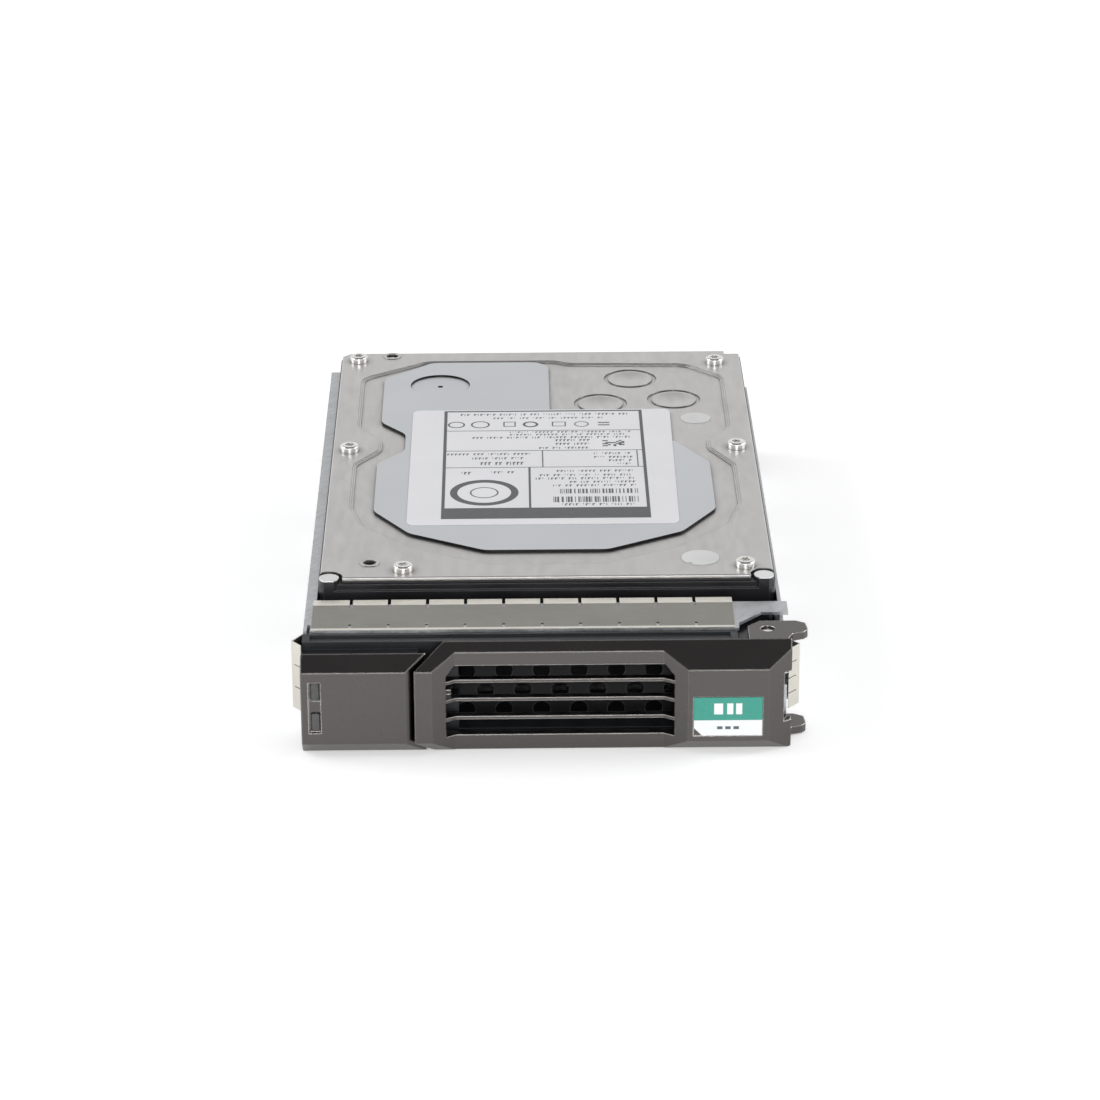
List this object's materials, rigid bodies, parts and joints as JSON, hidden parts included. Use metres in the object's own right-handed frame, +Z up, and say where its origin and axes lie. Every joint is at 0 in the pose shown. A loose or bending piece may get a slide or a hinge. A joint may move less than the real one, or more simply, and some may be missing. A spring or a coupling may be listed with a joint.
{
  "type": "hard disk drive in hot-swap carrier",
  "caption": "Enterprise hard disk drive in a sheet-metal hot-swap carrier with a louvred swing handle, push release button and shielding springs.",
  "frame": {"origin": "middle of the bounding box's base, on the surface the carrier rests on", "axes": "+X to the right seen from the front, +Y from the bezel to the rear connector, +Z up through the drive's cover"},
  "size_m": [0.112, 0.179, 0.0296],
  "materials": {
    "galvanised_steel": "galvanised sheet, fine brushed spangle",
    "contact_stainless": "warm stainless spring sheet",
    "bezel_metallic": "satin dark grey metallic",
    "frame_plastic": "dark slate plastic",
    "black_plastic": "black moulded plastic",
    "black_sheet": "satin black coated sheet",
    "smoked_lens": "smoked translucent lens",
    "spring_steel": "bright wire",
    "bright_steel": "bright plated steel",
    "coated_casting": "black electrocoat over cast aluminium",
    "cover_stainless": "fine matt stainless",
    "plate_aluminium": "pale bonded plate",
    "label_white": null,
    "label_teal": "teal and white sticker",
    "sticker_pale": "pale foil sticker",
    "disk_mirror": "sputtered mirror",
    "machined_aluminium": "turned aluminium",
    "motor_steel": "laminated steel",
    "magnet_nickel": "nickel-plated magnet",
    "copper_wire": "enamelled copper wire",
    "filter_cloth": "white filter cloth",
    "ramp_plastic": "ivory engineering plastic",
    "flex_film": "amber polyimide film",
    "board_laminate": "dark green solder mask",
    "chip_plastic": "black moulding compound",
    "contact_gold": "gold-plated contact",
    "gasket_rubber": "black seal"
  },
  "bodies": {
    "carrier": {"base_casting": "coated_casting", "top_cover": "cover_stainless", "cover_gasket": "gasket_rubber", "damping_plate": "plate_aluminium", "drive_label": "label_white", "seal_stickers": "sticker_pale", "cover_screws": "bright_steel", "breather_filter": "filter_cloth", "recirculation_filter": "filter_cloth", "spindle_sleeve": "machined_aluminium", "stator_core": "motor_steel", "stator_coils": "copper_wire", "pivot_shaft": "bright_steel", "load_ramp": "ramp_plastic", "lower_yoke": "magnet_nickel", "upper_yoke": "magnet_nickel", "yoke_screws": "bright_steel", "coil_magnets": "magnet_nickel", "flex_connector": "black_plastic", "flex_cable": "flex_film", "circuit_board": "board_laminate", "board_chips": "chip_plastic", "board_screws": "bright_steel", "data_connector": "black_plastic", "connector_contacts": "contact_gold", "left_side_rail": "galvanised_steel", "right_side_rail": "galvanised_steel", "front_bracket": "galvanised_steel", "bracket_rivets": "bright_steel", "front_shield": "black_sheet", "emi_spring_top": "contact_stainless", "emi_spring_left": "contact_stainless", "emi_spring_right": "contact_stainless", "bezel_frame": "frame_plastic", "catch_spring": "spring_steel", "pivot_block": "black_plastic", "handle_pin": "bright_steel", "handle_spring": "spring_steel", "button_springs": "spring_steel", "drive_mount_screws": "bright_steel"},
    "handle": {"handle": "bezel_metallic", "capacity_label": "label_teal"},
    "release_button": {"release_button": "bezel_metallic", "light_pipe_lower": "smoked_lens", "light_pipe_upper": "smoked_lens"},
    "latch_catch": {"latch_catch": "black_plastic"},
    "spindle": {"spindle_shaft": "bright_steel", "rotor_magnet": "magnet_nickel", "spindle_hub": "machined_aluminium", "platter_1": "disk_mirror", "platter_2": "disk_mirror", "platter_3": "disk_mirror", "spacer_rings": "machined_aluminium", "disk_clamp": "machined_aluminium", "clamp_screws": "bright_steel"},
    "head_stack": {"pivot_bearing": "bright_steel", "head_arm": "machined_aluminium", "voice_coil": "copper_wire", "suspensions": "spring_steel", "head_sliders": "chip_plastic"}
  },
  "joints": [
    {"name": "handle_swing", "type": "hinge", "parent": "carrier", "child": "handle", "pos_m": [0.04735, -0.0782, 0.0125], "axis": [0, 0, 1], "range_deg": [0, 60], "deforming": ["handle_spring"]},
    {"name": "button_press", "type": "slide", "parent": "carrier", "child": "release_button", "axis": [0, 1, 0], "range_m": [0, 0.002], "stiffness_N_per_m": 300, "springref_m": -0.001, "deforming": ["button_springs"]},
    {"name": "catch_slide", "type": "slide", "parent": "carrier", "child": "latch_catch", "axis": [-1, 0, 0], "range_m": [0, 0.002], "deforming": ["catch_spring"]},
    {"name": "spindle_spin", "type": "hinge", "parent": "carrier", "child": "spindle", "pos_m": [-0.00035, -0.006, 0.014], "axis": [0, 0, 1], "continuous": true},
    {"name": "head_swing", "type": "hinge", "parent": "carrier", "child": "head_stack", "pos_m": [0.01965, 0.05, 0.017], "axis": [0, 0, 1], "range_deg": [0, 33], "deforming": ["flex_cable"]}
  ],
  "couplings": [
    {"joint": "catch_slide", "follows": "button_press", "ratio": 1}
  ]
}
